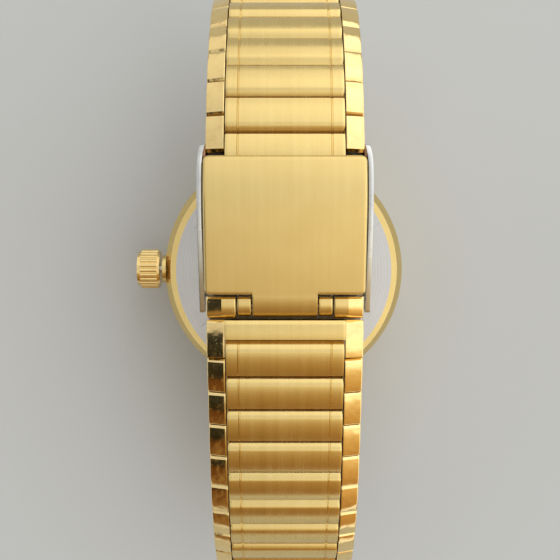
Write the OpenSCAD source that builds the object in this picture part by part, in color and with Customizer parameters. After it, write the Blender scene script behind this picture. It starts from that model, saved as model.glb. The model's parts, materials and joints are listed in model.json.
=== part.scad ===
// Automatic wristwatch on a link bracelet with a fold-over clasp, closed as
// a loop and standing face-down on its flat crystal. Millimetres and degrees.
// z = 0 is the crystal's outer face, +z runs up to the clasp, +y is the
// 12 o'clock side and the crown at 3 o'clock is on -x.

/* [Bracelet] */
// Outer width of the bracelet, which fits between the lugs
band_w = 18; // [16:0.1:22]
// Distance from one hinge pin to the next
pitch = 4.25; // [3.5:0.05:6]
// Width of the centre bars
bar_w = 13.4; // [11:0.1:16]
// Thickness of a bar
bar_t = 2.4; // [1.8:0.1:3.4]
// Radius of a bar's domed outer face
bar_crown = 4.4; // [3:0.1:9]
// Radius of a bar's long corners
bar_round = 0.6; // [0.3:0.05:0.9]
// Space between neighbouring bars and plates
link_gap = 0.25; // [0.15:0.05:0.5]
// Side play between a bar and its edge plates
side_gap = 0.22; // [0.1:0.02:0.5]
// Distance of the engraved line from a bar's end
groove_in = 1.45; // [0.8:0.05:2.5]
// Radius of the hinge pins
pin_r = 0.42; // [0.3:0.02:0.6]
// Free space around a pin in its bore
bore_play = 0.04; // [0.02:0.01:0.1]

/* [Clasp] */
// Length of the cover plate
cover_len = 15.8; // [12:0.1:22]
// Overhang of the cover plate past the band on each side
cover_over = 0.15; // [0:0.05:1]
// Thickness of the cover's sheet
cover_t = 0.75; // [0.5:0.05:1]
// Radius of the cover's arch along the band
cover_bow = 26; // [20:1:60]
// Height of the cover's crest above the pin line
cover_top = 3.05; // [2.8:0.05:3.6]
// Half width of the cover's hinge tongue
tongue_w = 3.7; // [2.5:0.1:5]
// Radius of the knuckles in the hinge row
knuckle_r = 1.1; // [0.8:0.05:1.3]
// Thickness of the steel side rails
rail_t = 0.45; // [0.4:0.05:1]
// Space between the cover and each steel side rail
rail_play = 0.4; // [0.1:0.05:1]
// Radius of the rails' bowed upper edge
rail_bow = 24; // [20:1:60]
// Height of the rails' crest above the pin line
rail_top = 1.3; // [1.2:0.05:1.6]
// Number of length-adjusting holes in each rail
adjust_holes = 4; // [2:1:6]
// Thickness of the folding blade
blade_t = 0.5; // [0.4:0.05:0.9]

/* [Case] */
// Radius of the case
case_r = 18.5; // [16:0.1:22]
// Dial-side edge of the case middle
case_z0 = 3.3; // [2.5:0.1:4.5]
// Back-side edge of the case middle
case_z1 = 11.0; // [9:0.1:13]
// Overall thickness from the crystal to the case back
case_t = 12.6; // [11:0.1:15]
// Distance of the lug bars outside the case
lug_out = 2.3; // [1.8:0.1:4]
// Height of the lug bars
lug_z = 8.2; // [6:0.1:10]
// Width of one lug
lug_w = 2.7; // [2:0.1:4]
// Radius of the crystal
crystal_r = 15.2; // [13:0.1:17]
// Thickness of the crystal
crystal_t = 2.0; // [1:0.1:3]
// Radius of the crown
crown_r = 3.1; // [2.5:0.1:4]
// Length of the crown's grip
crown_len = 3.4; // [2.5:0.1:5]
// Flutes around the crown
crown_flutes = 24; // [12:1:36]

/* [Dial] */
// Dial-side face of the dial plate
dial_z = 4.2; // [3.6:0.1:5]
// Radius of the dial plate
dial_r = 15.3; // [13:0.1:17]
// Length of an applied hour marker
marker_len = 2.6; // [1.5:0.1:4]
// Reach of the hour hand
hour_len = 8.6; // [6:0.1:10]
// Reach of the minute hand
minute_len = 12.6; // [10:0.1:14]
// Reach of the second hand
second_len = 13.4; // [10:0.1:14.5]

/* [Movement] */
// Width of the movement ring between the mainplate and the case
ring_w = 1.2; // [0.8:0.1:2.5]
// Teeth on the mainspring barrel
barrel_teeth = 75; // [60:1:90]
// Teeth on the centre wheel
centre_teeth = 64; // [48:1:80]
// Teeth on the third wheel
third_teeth = 60; // [48:1:80]
// Teeth on the fourth wheel
fourth_teeth = 70; // [56:1:84]
// Teeth on the escape wheel
escape_teeth = 15; // [15:1:21]
// Radius of the balance wheel
balance_r = 3.0; // [2.4:0.1:3.6]
// Distance of the rotor weight's rim inside the mainplate's
rotor_in = 0.3; // [0.1:0.1:1.5]

/* [Hidden] */
// One node may be built on its own by name
$fn = 64;
e = 0.01;
// Bend of each link against the one nearer the clasp, clasp outward; their sum closes the loop
lower_bends = [14, -0.5, 1, 3, 5.5, 7, 7, 8, 14.5, 17, 17.5, 18, 16.5, 15.5, 14];
upper_bends = [12, 8.5, 8.5, 8.5, 9.5, 13, 14, 15, 14.5, 15, 14, 13];
// Clasp origin, and in the clasp's own y: cover hinge, first lower hinge, link pin in the rails
clasp_y = 7.1;
clasp_z = 47;
hinge_y = -8.25;
u_pin_y = -13.2;
link_pin_y = 8.06;
cover_y0 = -7;
u_bar_y = -9.65;
// Blade pivot at the upper end of the rails
blade_y = 9.3;
blade_z = -2.6;
floor_z = -2.15;
floor_t = 0.4;
// Crest of the cover and of the rails along the band
cover_crest_y = 2.2;
rail_crest_y = 3.2;
skirt_t = 0.7;
skirt_h = 1.6;
function cover_z(y, low = 0) = cover_top - cover_bow +
    sqrt(pow(cover_bow - low, 2) - pow(y - cover_crest_y, 2));
cover_w = band_w + 2 * cover_over;
rail_in = cover_w + 2 * rail_play;
u_bar_len = 2.45;
plate_w = band_w / 2 - bar_w / 2 - side_gap;
lug_y = case_r + lug_out;
bore_r = pin_r + bore_play;
lower_n = len(lower_bends);
upper_n = len(upper_bends);
// Slope and hinge position of link i, counted from the clasp
function slope(bends, i) = i < 1 ? 0 : slope(bends, i - 1) + bends[i - 1];
function hop(bends, i) = i < 1 ? [0, 0] :
    hop(bends, i - 1) + pitch * [cos(slope(bends, i)), -sin(slope(bends, i))];
function lower_pin(i) = let (h = hop(lower_bends, i))
    [0, clasp_y + u_pin_y - h[0], clasp_z + h[1]];
function upper_pin(i) = let (h = hop(upper_bends, i))
    [0, clasp_y + link_pin_y + h[0], clasp_z + h[1]];
// Lug-side span of each half, from its last hinge pin to the lug bar
lower_end = lower_pin(lower_n);
upper_end = upper_pin(upper_n);
lower_span = norm(lower_end - [0, -lug_y, lug_z]);
upper_span = norm(upper_end - [0, lug_y, lug_z]);
lower_tilt = atan2(lower_end[2] - lug_z, lower_end[1] + lug_y);
upper_tilt = atan2(upper_end[2] - lug_z, lug_y - upper_end[1]);
lug_x = band_w / 2 + 0.05;
back_z = case_t - 1.3;
// Radii that fit the case, bezel and movement ring round the crystal and the dial
bezel_r = max(crystal_r, dial_r - 0.1) + 2.5;
bezel_seat_r = bezel_r - 1.3;
dial_seat_r = dial_r + 0.2;
ring_seat_r = dial_r - 1.2;
ring_r = ring_seat_r - 0.05;
back_seat_r = dial_r - 0.4;
plate_z = dial_z + 0.55;
plate_r = ring_seat_r - ring_w;
rotor_r = plate_r - rotor_in;
// Module with which the barrel just fits inside the mainplate's rim
rim_play = 0.765;
gear_m = (plate_r - rim_play) / (barrel_teeth + 5.9);
// Train centres around the dial's axis; teeth of the pinions and levels of the wheels
barrel_a = gear_m * (barrel_teeth + 10) / 2;
third_a = gear_m * (centre_teeth + 8) / 2;
third_m = 2 * third_a / (third_teeth + 8);
escape_a = 35 * gear_m;
escape_r = 1.85;
fourth_m = 2 * escape_a / (fourth_teeth + 7);
barrel_at = 90;
third_at = 205;
escape_at = 318;
balance_at = 296;
balance_a = plate_r - balance_r - 0.4;
fork_at = 310.5;
fork_a = escape_a + escape_r + 0.4;
fork_z = 7.0;
train_z = 6.8;
spring_turns = 4.5;
spring_steps = 108;
// Time shown, 10:09:23, with positive angles clockwise on the dial
second_at = 6 * 23;
minute_at = 6 * (9 + 23 / 60);
hour_at = 30 * (10 + minute_at / 360);
bridge_z = 9.3;
rotor_z = 10.15;
stem_z = 7.4;

// Shared shapes

// Extrudes a side profile (drawn in y and z) across the band, centred on x = 0
module across(w) rotate([90, 0, 90]) translate([0, 0, -w / 2]) linear_extrude(w) children();

// Plate standing on x = x0 with thickness t, mirrored to both sides of the band
module both_sides(x0, t) for (s = [0, 1]) mirror([s, 0, 0])
    translate([x0 + t / 2, 0, 0]) across(t) children();

// Rectangle from a to b with round corners of radius r
module soft_box(a, b, r) {
    translate([a[0] + r, a[1]]) square([b[0] - a[0] - 2 * r, b[1] - a[1]]);
    translate([a[0], a[1] + r]) square([b[0] - a[0], b[1] - a[1] - 2 * r]);
    for (x = [a[0] + r, b[0] - r], y = [a[1] + r, b[1] - r]) translate([x, y]) circle(r, $fn = 32);
}

// Side profile of a bar, domed on the outside, lowered all round by cut
module bar_side(y0, y1, cut = 0) intersection() {
    soft_box([y0 + cut, -bar_t / 2 + cut], [y1 - cut, bar_t / 2 - cut], bar_round);
    translate([(y0 + y1) / 2, bar_t / 2 - cut - bar_crown]) circle(bar_crown, $fn = 96);
}

// Centre bar with its two engraved lines, bored for the pins at ys
module bar(y0, y1, w, ys) difference() {
    union() {
        across(w - 0.3) bar_side(y0, y1, 0.12);
        across(w - 2 * groove_in - 0.16) bar_side(y0, y1);
        both_sides(w / 2 - groove_in + 0.08, groove_in - 0.08) bar_side(y0, y1);
    }
    for (y = ys) translate([0, y, 0]) rotate([0, 90, 0])
        cylinder(r = bore_r, h = w + 2, center = true);
}

// Side profile of an edge plate with a bevelled lip at each end
module plate_side(y0, y1) polygon([
    [y0 + 0.55, -bar_t / 2 + 0.05], [y0, -bar_t / 2 + 0.65], [y0, bar_t / 2 - 0.42],
    [y0 + 0.32, bar_t / 2 - 0.1], [y1 - 0.32, bar_t / 2 - 0.1], [y1, bar_t / 2 - 0.42],
    [y1, -bar_t / 2 + 0.65], [y1 - 0.55, -bar_t / 2 + 0.05]]);

// Pair of edge plates, bored for the pins at ys
module edge_plates(y0, y1, ys) difference() {
    both_sides(band_w / 2 - plate_w, plate_w) plate_side(y0, y1);
    for (y = ys) translate([0, y, 0]) rotate([0, 90, 0])
        cylinder(r = pin_r + 0.02, h = band_w + 1, center = true);
}

// Pin across the band at y, ending just inside the side faces
module cross_pin(y, w, r = pin_r) translate([0, y, 0]) rotate([0, 90, 0]) {
    cylinder(r = r, h = w - 0.3, center = true);
    cylinder(r = r - 0.1, h = w - 0.1, center = true);
}

// One link along +y: bar round the hinge at y = 0, plates and pins reaching to the next hinge
module link() {
    bar(-pitch / 4 + link_gap / 2, 3 * pitch / 4 - link_gap / 2, bar_w, [0, pitch / 2]);
    edge_plates(pitch / 4 + link_gap / 2, 5 * pitch / 4 - link_gap / 2, [pitch / 2, pitch]);
    cross_pin(pitch / 2, band_w);
    cross_pin(pitch, band_w);
}

// Places a link of the lower half, whose own +y runs down the band away from the clasp
module on_lower(i) translate(lower_pin(i - 1)) rotate([slope(lower_bends, i), 0, 0])
    mirror([0, 1, 0]) children();

// Places a link of the upper half
module on_upper(i) translate(upper_pin(i - 1)) rotate([-slope(upper_bends, i), 0, 0]) children();

// Places a piece of the clasp
module on_clasp() translate([0, clasp_y, clasp_z]) children();

// Gear blank with thin teeth of module m, lightened by holes between its arms
module gear(n, m, t, turn = 0, bore = 0, arms = 0) {
    r = n * m / 2;
    difference() {
        linear_extrude(t) rotate(turn) polygon([for (i = [0:n - 1], k = [0:3])
            let (a = 360 / n * (i + [-0.24, -0.1, 0.1, 0.24][k]), d = [-1.2, 0.9, 0.9, -1.2][k] * m)
            (r + d) * [cos(a), sin(a)]]);
        if (bore > 0) translate([0, 0, -1]) cylinder(r = bore, h = t + 2);
        if (arms > 0) for (i = [0:arms - 1]) rotate(360 / arms * (i + 0.5))
            translate([r * 0.56, 0, -1]) cylinder(r = r * 0.25, h = t + 2);
    }
}

// Moves children to distance a from the dial's axis at angle at, height z
module around(at, a, z) rotate(at) translate([a, 0, z]) children();

// Case and dial

module case_middle() color("gold") difference() {
    union() {
        rotate_extrude($fn = 128) polygon([
            [dial_seat_r, case_z0 + 0.4], [bezel_seat_r, case_z0], [bezel_r, case_z0],
            [case_r, case_z0 + 0.8], [case_r, case_z1 - 1.2], [case_r - 0.9, case_z1],
            [back_seat_r, case_z1], [back_seat_r, case_z1 - 1.5], [ring_seat_r, case_z1 - 1.5],
            [ring_seat_r, plate_z], [dial_seat_r, plate_z]]);
        for (m = [0, 1]) mirror([0, m, 0]) both_sides(lug_x, lug_w) lug_side();
        translate([-case_r + 1, 0, stem_z]) rotate([0, -90, 0]) cylinder(r = 2.2, h = 1.6);
    }
    translate([0, 0, case_z0 + 0.5]) cylinder(r = ring_seat_r, h = case_z1);
    for (m = [0, 1]) mirror([0, m, 0]) translate([0, lug_y, lug_z]) rotate([0, 90, 0])
        cylinder(r = 0.5, h = 2 * lug_x + 2.4, center = true);
    translate([-10, 0, stem_z]) rotate([0, -90, 0]) cylinder(r = 1.0, h = 12);
}

// Side profile of a lug, from inside the case wall to its rounded tip
module lug_side() difference() {
    union() {
        translate([lug_y, 0]) polygon([[-8.3, 4.7], [-3.8, 4.5], [-0.3, 5.6], [2.1, 8.0], [2.5, 9.6],
                                       [2.0, 10.2], [-1.8, 10.4], [-8.3, 10.4]]);
        translate([lug_y - 0.4, lug_z - 0.1]) circle(2.5);
    }
    translate([0, 0]) square([12.6, 20]);
}

module bezel() color("gold") rotate_extrude($fn = 128) polygon([
    [crystal_r + 0.35, 0.45], [crystal_r + 0.9, 0.35], [bezel_r - 0.8, 0.9],
    [bezel_r, case_z0 - 0.7], [bezel_r, case_z0 - 0.02], [bezel_seat_r, case_z0 - 0.02],
    [dial_seat_r - 0.05, case_z0 + 0.36], [dial_seat_r - 0.05, dial_z - 0.05],
    [dial_r - 0.6, crystal_t + 0.45], [dial_r - 0.6, crystal_t + 0.05],
    [crystal_r + 0.35, crystal_t + 0.05]]);

module crystal() color("LightCyan", 0.35) rotate_extrude($fn = 128) polygon([
    [0, 0], [crystal_r - 0.3, 0], [crystal_r, 0.3], [crystal_r, crystal_t], [0, crystal_t]]);

module crystal_gasket() color("DimGray") translate([0, 0, 0.55]) difference() {
    cylinder(r = crystal_r + 0.32, h = crystal_t - 0.6, $fn = 128);
    translate([0, 0, -1]) cylinder(r = crystal_r + 0.03, h = 5, $fn = 128);
}

module dial() color("Ivory") translate([0, 0, dial_z]) difference() {
    cylinder(r = dial_r, h = 0.4, $fn = 128);
    translate([0, 0, -1]) cylinder(r = 1.1, h = 3);
    translate([0, 0, -e]) difference() {
        cylinder(r = dial_r - 0.75, h = 0.06, $fn = 128);
        translate([0, 0, -1]) cylinder(r = dial_r - 0.85, h = 3, $fn = 128);
    }
}

module hour_markers() color("Gold") translate([0, 0, dial_z - 0.36]) for (i = [0:11]) rotate(30 * i)
    if (i == 3) for (s = [-1, 1]) translate([dial_r - 1.3 - marker_len, s * 0.55 - 0.35, 0])
        marker_block(marker_len, 0.7);
    else translate([dial_r - 1.3 - marker_len, -0.4, 0]) marker_block(marker_len, 0.8);

// Applied marker with a roof-shaped top towards the crystal
module marker_block(l, w) translate([0, w / 2, 0]) rotate([90, 0, 90]) linear_extrude(l) polygon([
    [-w / 2, 0.34], [-w / 2, 0.14], [0, 0], [w / 2, 0.14], [w / 2, 0.34]]);

// Hand blade along +y, tapering from its hub, with a lume slot
module hand(l, w, tail, t, slot) linear_extrude(t) difference() {
    union() {
        polygon([[-w / 2, 0], [-w * 0.42, l * 0.8], [0, l], [w * 0.42, l * 0.8], [w / 2, 0],
                 [w * 0.3, -tail], [-w * 0.3, -tail]]);
        circle(w * 0.95 + 0.2);
    }
    if (slot) translate([-w * 0.2, l * 0.35]) square([w * 0.4, l * 0.42]);
}

module hour_hand() color("Gold") {
    rotate(hour_at) translate([0, 0, 3.55]) difference() {
        hand(hour_len, 1.3, 2, 0.22, true);
        translate([0, 0, -1]) cylinder(r = 0.7, h = 3);
    }
    translate([0, 0, 3.6]) difference() {
        cylinder(r = 0.95, h = 1.4);
        translate([0, 0, -1]) cylinder(r = 0.72, h = 4);
    }
}

module minute_hand() color("Gold") {
    rotate(minute_at) translate([0, 0, 3.05]) difference() {
        hand(minute_len, 1.1, 2.6, 0.2, true);
        translate([0, 0, -1]) cylinder(r = 0.36, h = 3);
    }
    translate([0, 0, 3.2]) difference() {
        cylinder(r = 0.64, h = 5);
        translate([0, 0, -1]) cylinder(r = 0.36, h = 8);
    }
    translate([0, 0, train_z - 0.05]) gear(10, gear_m, 0.45, barrel_at - 18, 0.36);
    translate([0, 0, 8.0]) gear(centre_teeth, gear_m, 0.2, third_at, 0.36, 5);
}

module second_hand() color("Gold") {
    rotate(second_at) translate([0, 0, 2.62]) {
        hand(second_len, 0.3, 3.6, 0.16, false);
        translate([0, -3.4, 0]) cylinder(r = 0.75, h = 0.16);
    }
    translate([0, 0, 2.62]) cylinder(r = 0.3, h = 6.6);
    translate([0, 0, 8.45]) gear(8, third_m, 0.3, third_at - 180 / 8, 0);
    translate([0, 0, 8.9]) gear(fourth_teeth, fourth_m, 0.16, escape_at, 0, 5);
}

// Movement

module movement_ring() color("Silver") translate([0, 0, plate_z]) difference() {
    cylinder(r = ring_r, h = case_z1 - 1.65 - plate_z, $fn = 128);
    translate([0, 0, -1]) cylinder(r = plate_r + 0.1, h = 8, $fn = 128);
    translate([-10, 0, stem_z - plate_z]) rotate([0, -90, 0]) cylinder(r = 1.0, h = 12);
}

module mainplate() color("Gainsboro") translate([0, 0, plate_z]) difference() {
    union() {
        cylinder(r = plate_r, h = 1.2, $fn = 128);
        difference() {
            cylinder(r = plate_r, h = 1.9, $fn = 128);
            translate([0, 0, 1]) cylinder(r = plate_r - 0.9, h = 2, $fn = 128);
        }
        for (a = [150, 255, 20]) around(a, plate_r - 1.7, 0)
            cylinder(r = 1.0, h = bridge_z - plate_z - 0.03);
    }
    translate([0, 0, -1]) cylinder(r = 1.15, h = 4);
    around(barrel_at, barrel_a, -1) cylinder(r = 0.55, h = 4);
    around(third_at, third_a, -1) cylinder(r = 0.35, h = 4);
    around(escape_at, escape_a, -1) cylinder(r = 0.3, h = 4);
    around(balance_at, balance_a, -1) cylinder(r = 0.35, h = 4);
    translate([-8, 0, stem_z - plate_z]) rotate([0, -90, 0]) cylinder(r = 0.95, h = 12);
}

module bridges() color("Gainsboro") translate([0, 0, bridge_z]) difference() {
    union() {
        intersection() {
            cylinder(r = plate_r - 0.2, h = 0.6, $fn = 128);
            translate([-14, -2.4, -1]) cube([28, 20, 3]);
        }
        around(balance_at, 0, 0) translate([2.5, -1.6, 0]) cube([plate_r - 3.3, 3.2, 0.6]);
        around(255, 0, 0) translate([0, -1.4, 0]) cube([plate_r - 0.7, 2.8, 0.6]);
    }
    around(barrel_at, barrel_a, -1) cylinder(r = 0.5, h = 4);
    around(third_at, third_a, -1) cylinder(r = 0.3, h = 4);
    around(balance_at, balance_a, -1) cylinder(r = 0.3, h = 4);
    for (a = [150, 255, 20]) around(a, plate_r - 1.7, 0.35) cylinder(r = 0.75, h = 1);
}

module mainspring_barrel() color("Silver") around(barrel_at, barrel_a, train_z) {
    difference() {
        union() {
            gear(barrel_teeth, gear_m, 0.35, 180, 0);
            cylinder(r = 4.7, h = 1.1);
        }
        translate([0, 0, 0.2]) cylinder(r = 4.3, h = 0.8);
    }
    translate([0, 0, -1.6]) cylinder(r = 0.45, h = 4.5);
    translate([0, 0, 0.2]) cylinder(r = 1.2, h = 0.8);
}

module third_wheel() color("Gold") around(third_at, third_a, 0) {
    translate([0, 0, 8.5]) gear(third_teeth, third_m, 0.2, 180, 0, 5);
    translate([0, 0, 7.95]) gear(8, gear_m, 0.3, 180 - 180 / 8, 0);
    translate([0, 0, 5]) cylinder(r = 0.25, h = 4.7);
}

module escape_wheel() color("Silver") around(escape_at, escape_a, 0) {
    translate([0, 0, fork_z]) linear_extrude(0.16) difference() {
        polygon([for (i = [0:escape_teeth - 1], k = [0:2])
            let (a = 360 / escape_teeth * (i + [0, 0.32, 0.9][k]))
            [escape_r - 0.5, escape_r - 0.5, escape_r][k] * [cos(a), sin(a)]]);
        for (i = [0:3]) rotate(90 * i + 20) translate([0.82, 0]) circle(0.3, $fn = 24);
    }
    translate([0, 0, 8.8]) gear(7, fourth_m, 0.3, 180 + 180 / 7, 0);
    translate([0, 0, 5.2]) cylinder(r = 0.2, h = 4.0);
}

// Lever between the escape wheel and the balance, with two arms that hold pallets by the teeth
module pallet_fork() color("Silver") {
    around(fork_at, fork_a, fork_z) {
        linear_extrude(0.16) {
            rotate(-52) translate([-0.14, 0]) square([0.28, 1.7]);
            circle(0.4, $fn = 24);
        }
        translate([0, 0, -1.0]) cylinder(r = 0.18, h = 2.0);
    }
    around(escape_at, escape_a, fork_z) rotate(-24) linear_extrude(0.16) {
        intersection() {
            difference() {
                circle(escape_r + 0.42);
                circle(escape_r + 0.16);
            }
            polygon([[0, 0], [4 * cos(34), -4 * sin(34)], [4.4, 0], [4 * cos(34), 4 * sin(34)]]);
        }
        for (a = [-31, 31]) rotate(a) translate([escape_r + 0.05, -0.12]) square([0.5, 0.24]);
    }
}

module balance_wheel() color("Gold") around(balance_at, balance_a, 8.3) {
    difference() {
        cylinder(r = balance_r, h = 0.3);
        translate([0, 0, -1]) cylinder(r = balance_r - 0.35, h = 3);
    }
    for (a = [0, 60, 120]) rotate(a) translate([-balance_r + 0.2, -0.14, 0.06])
        cube([2 * balance_r - 0.4, 0.28, 0.16]);
    translate([0, 0, -3.3]) cylinder(r = 0.22, h = 4.5);
    translate([0, 0, -0.5]) cylinder(r = 0.6, h = 0.14);
}

// Flat spiral that ends on its collet round the balance staff
module hairspring() color("SteelBlue") around(balance_at, balance_a, 8.72) {
    linear_extrude(0.16) polygon([for (side = [0, 1], k = [0:spring_steps])
        let (n = side == 0 ? k : spring_steps - k, a = 360 * spring_turns * n / spring_steps)
        (0.62 + 0.32 * spring_turns * n / spring_steps + (side == 0 ? 0 : 0.07)) * [cos(a), sin(a)]]);
    difference() {
        cylinder(r = 0.68, h = 0.16);
        translate([0, 0, -1]) cylinder(r = 0.24, h = 3);
    }
}

module rotor() color("Silver") translate([0, 0, rotor_z]) rotate(35) {
    difference() {
        union() {
            intersection() {
                cylinder(r = rotor_r, h = 0.3, $fn = 128);
                translate([-14, -14, -1]) cube([28, 14, 3]);
            }
            intersection() {
                cylinder(r = rotor_r, h = 0.95, $fn = 128);
                translate([-14, -14, -1]) cube([28, 14, 3]);
                difference() {
                    translate([0, 0, -1]) cylinder(r = 14, h = 3);
                    translate([0, 0, -2]) cylinder(r = rotor_r - 2.2, h = 5, $fn = 128);
                }
            }
            cylinder(r = 2.6, h = 0.5);
        }
        translate([0, 0, -1]) cylinder(r = 1.9, h = 3);
        for (a = [-130, -90, -50]) rotate(a) translate([6.3, 0, -1]) cylinder(r = 1.7, h = 3);
    }
}

module ball_bearing() color("Silver") translate([0, 0, bridge_z + 0.62]) {
    cylinder(r = 1.2, h = 0.95);
    translate([0, 0, 0.95]) cylinder(r = 0.75, h = 0.14);
    for (i = [0:6]) rotate(360 / 7 * i) translate([1.52, 0, 0.5]) sphere(r = 0.26, $fn = 24);
}

// Back, crown and spring bars

module case_back() color("Silver") difference() {
    union() {
        translate([0, 0, back_z + 0.02]) cylinder(r = back_seat_r + 1.7, h = 0.75, $fn = 128);
        translate([0, 0, back_z]) cylinder(r = back_seat_r + 0.5, h = case_t - back_z, $fn = 128);
        translate([0, 0, case_z1 - 1.45]) 
            cylinder(r = back_seat_r - 0.1, h = back_z - case_z1 + 1.46, $fn = 128);
    }
    translate([0, 0, case_z1 - 3]) cylinder(r = rotor_r + 0.7, h = back_z - case_z1 + 3.2, $fn = 128);
    for (i = [0:5]) rotate(60 * i + 30) translate([back_seat_r - 1, -1, case_t - 0.6])
        cube([3, 2, 2]);
    translate([0, 0, case_t - 0.12]) difference() {
        cylinder(r = 10.4, h = 1, $fn = 128);
        translate([0, 0, -1]) cylinder(r = 10.1, h = 3, $fn = 128);
    }
}

module case_back_gasket() color("DimGray") translate([0, 0, case_z1 + 0.02]) difference() {
    cylinder(r = back_seat_r + 1.3, h = 0.28, $fn = 128);
    translate([0, 0, -1]) cylinder(r = back_seat_r - 0.05, h = 3, $fn = 128);
}

module winding_stem() color("Silver") {
    translate([1.7 - plate_r, 0, stem_z]) rotate([0, -90, 0]) {
        cylinder(r = 0.6, h = case_r + 3.7 - plate_r);
        cylinder(r = 0.85, h = 1.6);
    }
}

module crown() color("gold") translate([-case_r - 0.95, 0, stem_z]) rotate([0, -90, 0]) difference() {
    union() {
        translate([0, 0, 0.25]) cylinder(r = crown_r - 0.2, h = crown_len - 0.5);
        translate([0, 0, 0.05]) cylinder(r = 2.7, h = crown_len + 0.1);
        for (i = [0:crown_flutes - 1]) rotate(360 / crown_flutes * i)
            translate([crown_r - 0.3, 0, 0.4]) cylinder(r = 0.3, h = crown_len - 0.8, $fn = 16);
    }
    translate([0, 0, -1]) cylinder(r = 0.66, h = crown_len - 0.6);
}

module spring_bars() color("Silver") for (m = [0, 1]) mirror([0, m, 0])
    translate([0, lug_y, lug_z]) rotate([0, 90, 0]) {
        cylinder(r = 0.75, h = band_w - 1, center = true);
        cylinder(r = 0.42, h = 2 * lug_x + 2, center = true);
    }

// Bracelet

// End piece along +y from its hinge pin to the lug bar at y = span
module end_piece_shape(span) difference() {
    union() {
        across(bar_w) bar_side(-pitch / 4 + link_gap / 2, 3 * pitch / 4);
        across(band_w - 0.1) polygon([
            [1.45, -1.0], [1.45, 0.95], [1.8, 1.15], [span - 2.5, 1.9], [span + 3, 2.1],
            [span + 3, -1.6], [span + 1, -1.9], [span - 1.6, -1.7], [2.2, -1.2]]);
    }
    rotate([0, 90, 0]) cylinder(r = bore_r, h = band_w + 2, center = true);
    translate([0, span, 0]) rotate([0, 90, 0]) cylinder(r = 0.85, h = band_w + 2, center = true);
}

module lower_end_piece() color("gold") difference() {
    translate(lower_end) rotate([lower_tilt, 0, 0]) mirror([0, 1, 0])
        end_piece_shape(lower_span);
    cylinder(r = case_r + 0.25, h = 30, $fn = 128);
}

module upper_end_piece() color("gold") difference() {
    translate(upper_end) rotate([-upper_tilt, 0, 0]) end_piece_shape(upper_span);
    cylinder(r = case_r + 0.25, h = 30, $fn = 128);
}

// U-shaped link that meets the clasp's hinge row
module u_link() color("gold") on_clasp() {
    difference() {
        union() {
            across(band_w) bar_side(u_bar_y - u_bar_len, u_bar_y);
            both_sides(band_w / 2 - plate_w, plate_w) mirror([1, 0])
                plate_side(-u_bar_y + 1, -u_pin_y + pitch / 4 - link_gap / 2);
        }
        translate([0, u_pin_y, 0]) rotate([0, 90, 0])
            cylinder(r = pin_r + 0.02, h = band_w + 1, center = true);
    }
    cross_pin(u_pin_y, band_w);
}

module lower_link(i) color("gold") on_lower(i) link();

module upper_link(i) color("gold") on_upper(i) link();

// Clasp

// Side profile of everything under an arch along the band, lowered by low
module under_arch(low = 0) translate([cover_crest_y, cover_top - cover_bow])
    circle(cover_bow - low, $fn = 256);

module clasp_cover() color("gold") on_clasp() difference() {
    union() {
        intersection() {
            across(cover_w) difference() {
                under_arch();
                under_arch(skirt_h);
            }
            translate([0, 0, 0.35]) linear_extrude(4)
                soft_box([-cover_w / 2, cover_y0], [cover_w / 2, cover_y0 + cover_len], 0.7);
        }
        across(2 * tongue_w) {
            translate([hinge_y, 0]) circle(knuckle_r);
            polygon([[hinge_y - 0.7, 0.82], [hinge_y, knuckle_r], [cover_y0, cover_z(cover_y0)],
                     [cover_y0 + 0.5, cover_z(cover_y0 + 0.5)], [cover_y0 + 0.5, 0.4],
                     [hinge_y + 0.7, 0.4]]);
        }
    }
    intersection() {
        across(cover_w - 2 * skirt_t) under_arch(cover_t);
        translate([-cover_w, cover_y0 + skirt_t, -1]) cube([2 * cover_w, cover_len, 6]);
    }
    translate([0, hinge_y, 0]) rotate([0, 90, 0]) cylinder(r = bore_r, h = 20, center = true);
}

// Side profile of a rail: bowed above, flat below, with an ear round the blade's pin
module rail_side() {
    intersection() {
        soft_box([hinge_y + 0.05, floor_z], [blade_y + 0.6, 3], 0.8);
        translate([rail_crest_y, rail_top - rail_bow]) circle(rail_bow, $fn = 256);
    }
    translate([blade_y - 0.2, blade_z]) circle(0.8, $fn = 32);
    translate([blade_y - 1, blade_z]) square([1.6, 1.2]);
}

module clasp_frame() color("Silver") on_clasp() difference() {
    union() {
        translate([-rail_in / 2 - e, -7.4, floor_z]) cube([rail_in + 2 * e, 16.1, floor_t]);
        both_sides(rail_in / 2, rail_t) rail_side();
        both_sides(tongue_w + 0.15, 1.6) {
            translate([hinge_y, 0]) circle(knuckle_r);
            polygon([[hinge_y - 0.7, 0], [hinge_y - 0.7, floor_z + 0.3], [hinge_y - 0.4, floor_z],
                     [-7, floor_z], [-7, floor_z + floor_t], [hinge_y + 1, -0.4]]);
        }
        both_sides(5.4, rail_in / 2 - 5.4 + e) difference() {
            polygon([[8.2, floor_z], [8.2, floor_z + floor_t], [blade_y, blade_z + 0.72],
                     [blade_y + 0.5, blade_z], [blade_y, blade_z - 0.6], [blade_y - 0.7, blade_z]]);
        }
    }
    translate([-4.4, -5, floor_z - 1]) cube([8.8, 9.5, 3]);
    translate([0, hinge_y, 0]) rotate([0, 90, 0]) cylinder(r = pin_r + 0.02, h = 14, center = true);
    translate([0, blade_y, blade_z]) rotate([0, 90, 0]) cylinder(r = 0.38, h = 30, center = true);
    for (i = [0:adjust_holes - 1]) translate([0, link_pin_y - 2.1 * i, 0]) rotate([0, 90, 0])
        cylinder(r = pin_r + 0.02, h = 30, center = true);
}

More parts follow.
